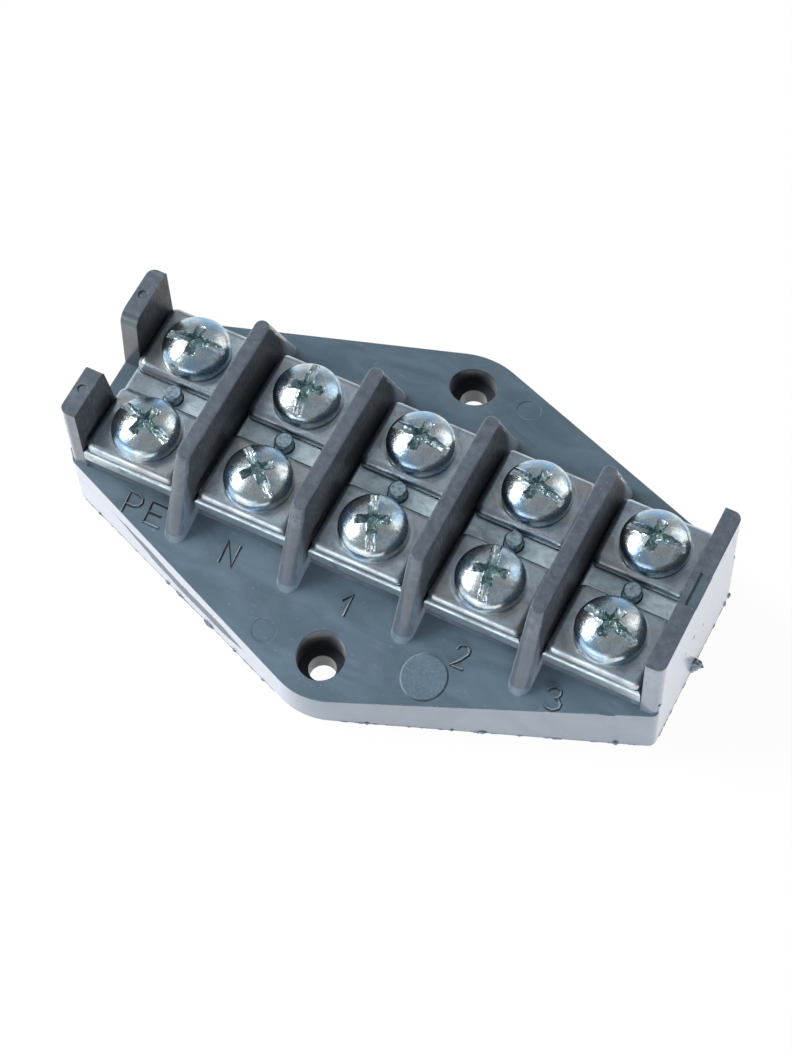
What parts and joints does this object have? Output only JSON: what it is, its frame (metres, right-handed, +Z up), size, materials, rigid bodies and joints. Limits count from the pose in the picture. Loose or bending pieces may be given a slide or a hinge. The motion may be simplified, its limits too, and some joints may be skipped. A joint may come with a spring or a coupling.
{
  "type": "terminal block",
  "caption": "Open terminal block: contact bars with screw clamps at front and back, on a six-sided moulded base with partition ribs and screw-down ears.",
  "frame": {"origin": "middle of the underside of the base, on the surface that it is screwed to", "axes": "+X along the row of poles from the earth end to the line 3 end, +Y from the front ear to the back ear, +Z up out of the surface"},
  "size_m": [0.087, 0.0572, 0.0223],
  "materials": {
    "grey_plastic": "moulded, satin",
    "plated_bar": "bright plated",
    "pin_steel": "plated",
    "zinc_plate": "zinc plated",
    "zinc_screw": "bright zinc plated"
  },
  "bodies": {
    "base": {"base": "grey_plastic", "earth_bar": "plated_bar", "neutral_bar": "plated_bar", "line_1_bar": "plated_bar", "line_2_bar": "plated_bar", "line_3_bar": "plated_bar", "earth_pin": "pin_steel", "neutral_pin": "pin_steel", "line_1_pin": "pin_steel", "line_2_pin": "pin_steel", "line_3_pin": "pin_steel"},
    "earth_front_clamp_plate": {"earth_front_clamp": "zinc_plate"},
    "earth_front_screw_turning": {"earth_front_screw": "zinc_screw"},
    "earth_back_clamp_plate": {"earth_back_clamp": "zinc_plate"},
    "earth_back_screw_turning": {"earth_back_screw": "zinc_screw"},
    "neutral_front_clamp_plate": {"neutral_front_clamp": "zinc_plate"},
    "neutral_front_screw_turning": {"neutral_front_screw": "zinc_screw"},
    "neutral_back_clamp_plate": {"neutral_back_clamp": "zinc_plate"},
    "neutral_back_screw_turning": {"neutral_back_screw": "zinc_screw"},
    "line_1_front_clamp_plate": {"line_1_front_clamp": "zinc_plate"},
    "line_1_front_screw_turning": {"line_1_front_screw": "zinc_screw"},
    "line_1_back_clamp_plate": {"line_1_back_clamp": "zinc_plate"},
    "line_1_back_screw_turning": {"line_1_back_screw": "zinc_screw"},
    "line_2_front_clamp_plate": {"line_2_front_clamp": "zinc_plate"},
    "line_2_front_screw_turning": {"line_2_front_screw": "zinc_screw"},
    "line_2_back_clamp_plate": {"line_2_back_clamp": "zinc_plate"},
    "line_2_back_screw_turning": {"line_2_back_screw": "zinc_screw"},
    "line_3_front_clamp_plate": {"line_3_front_clamp": "zinc_plate"},
    "line_3_front_screw_turning": {"line_3_front_screw": "zinc_screw"},
    "line_3_back_clamp_plate": {"line_3_back_clamp": "zinc_plate"},
    "line_3_back_screw_turning": {"line_3_back_screw": "zinc_screw"}
  },
  "joints": [
    {"name": "earth_front_clamp_lift", "type": "slide", "parent": "base", "child": "earth_front_clamp_plate", "axis": [0, 0, 1], "range_m": [-0.0003, 0.004]},
    {"name": "earth_front_screw_turn", "type": "hinge", "parent": "earth_front_clamp_plate", "child": "earth_front_screw_turning", "pos_m": [-0.034, -0.007, 0.0152], "axis": [0, 0, 1], "range_deg": [-135.5, 1801]},
    {"name": "earth_back_clamp_lift", "type": "slide", "parent": "base", "child": "earth_back_clamp_plate", "axis": [0, 0, 1], "range_m": [-0.0003, 0.004]},
    {"name": "earth_back_screw_turn", "type": "hinge", "parent": "earth_back_clamp_plate", "child": "earth_back_screw_turning", "pos_m": [-0.034, 0.007, 0.0152], "axis": [0, 0, 1], "range_deg": [-135.5, 1801]},
    {"name": "neutral_front_clamp_lift", "type": "slide", "parent": "base", "child": "neutral_front_clamp_plate", "axis": [0, 0, 1], "range_m": [-0.0003, 0.004]},
    {"name": "neutral_front_screw_turn", "type": "hinge", "parent": "neutral_front_clamp_plate", "child": "neutral_front_screw_turning", "pos_m": [-0.017, -0.007, 0.0152], "axis": [0, 0, 1], "range_deg": [-135.5, 1801]},
    {"name": "neutral_back_clamp_lift", "type": "slide", "parent": "base", "child": "neutral_back_clamp_plate", "axis": [0, 0, 1], "range_m": [-0.0003, 0.004]},
    {"name": "neutral_back_screw_turn", "type": "hinge", "parent": "neutral_back_clamp_plate", "child": "neutral_back_screw_turning", "pos_m": [-0.017, 0.007, 0.0152], "axis": [0, 0, 1], "range_deg": [-135.5, 1801]},
    {"name": "line_1_front_clamp_lift", "type": "slide", "parent": "base", "child": "line_1_front_clamp_plate", "axis": [0, 0, 1], "range_m": [-0.0003, 0.004]},
    {"name": "line_1_front_screw_turn", "type": "hinge", "parent": "line_1_front_clamp_plate", "child": "line_1_front_screw_turning", "pos_m": [0, -0.007, 0.0152], "axis": [0, 0, 1], "range_deg": [-135.5, 1801]},
    {"name": "line_1_back_clamp_lift", "type": "slide", "parent": "base", "child": "line_1_back_clamp_plate", "axis": [0, 0, 1], "range_m": [-0.0003, 0.004]},
    {"name": "line_1_back_screw_turn", "type": "hinge", "parent": "line_1_back_clamp_plate", "child": "line_1_back_screw_turning", "pos_m": [0, 0.007, 0.0152], "axis": [0, 0, 1], "range_deg": [-135.5, 1801]},
    {"name": "line_2_front_clamp_lift", "type": "slide", "parent": "base", "child": "line_2_front_clamp_plate", "axis": [0, 0, 1], "range_m": [-0.0003, 0.004]},
    {"name": "line_2_front_screw_turn", "type": "hinge", "parent": "line_2_front_clamp_plate", "child": "line_2_front_screw_turning", "pos_m": [0.017, -0.007, 0.0152], "axis": [0, 0, 1], "range_deg": [-135.5, 1801]},
    {"name": "line_2_back_clamp_lift", "type": "slide", "parent": "base", "child": "line_2_back_clamp_plate", "axis": [0, 0, 1], "range_m": [-0.0003, 0.004]},
    {"name": "line_2_back_screw_turn", "type": "hinge", "parent": "line_2_back_clamp_plate", "child": "line_2_back_screw_turning", "pos_m": [0.017, 0.007, 0.0152], "axis": [0, 0, 1], "range_deg": [-135.5, 1801]},
    {"name": "line_3_front_clamp_lift", "type": "slide", "parent": "base", "child": "line_3_front_clamp_plate", "axis": [0, 0, 1], "range_m": [-0.0003, 0.004]},
    {"name": "line_3_front_screw_turn", "type": "hinge", "parent": "line_3_front_clamp_plate", "child": "line_3_front_screw_turning", "pos_m": [0.034, -0.007, 0.0152], "axis": [0, 0, 1], "range_deg": [-135.5, 1801]},
    {"name": "line_3_back_clamp_lift", "type": "slide", "parent": "base", "child": "line_3_back_clamp_plate", "axis": [0, 0, 1], "range_m": [-0.0003, 0.004]},
    {"name": "line_3_back_screw_turn", "type": "hinge", "parent": "line_3_back_clamp_plate", "child": "line_3_back_screw_turning", "pos_m": [0.034, 0.007, 0.0152], "axis": [0, 0, 1], "range_deg": [-135.5, 1801]}
  ],
  "couplings": [
    {"joint": "earth_front_screw_turn", "follows": "earth_front_clamp_lift", "rad_per_m": 7854},
    {"joint": "earth_back_screw_turn", "follows": "earth_back_clamp_lift", "rad_per_m": 7854},
    {"joint": "neutral_front_screw_turn", "follows": "neutral_front_clamp_lift", "rad_per_m": 7854},
    {"joint": "neutral_back_screw_turn", "follows": "neutral_back_clamp_lift", "rad_per_m": 7854},
    {"joint": "line_1_front_screw_turn", "follows": "line_1_front_clamp_lift", "rad_per_m": 7854},
    {"joint": "line_1_back_screw_turn", "follows": "line_1_back_clamp_lift", "rad_per_m": 7854},
    {"joint": "line_2_front_screw_turn", "follows": "line_2_front_clamp_lift", "rad_per_m": 7854},
    {"joint": "line_2_back_screw_turn", "follows": "line_2_back_clamp_lift", "rad_per_m": 7854},
    {"joint": "line_3_front_screw_turn", "follows": "line_3_front_clamp_lift", "rad_per_m": 7854},
    {"joint": "line_3_back_screw_turn", "follows": "line_3_back_clamp_lift", "rad_per_m": 7854}
  ]
}
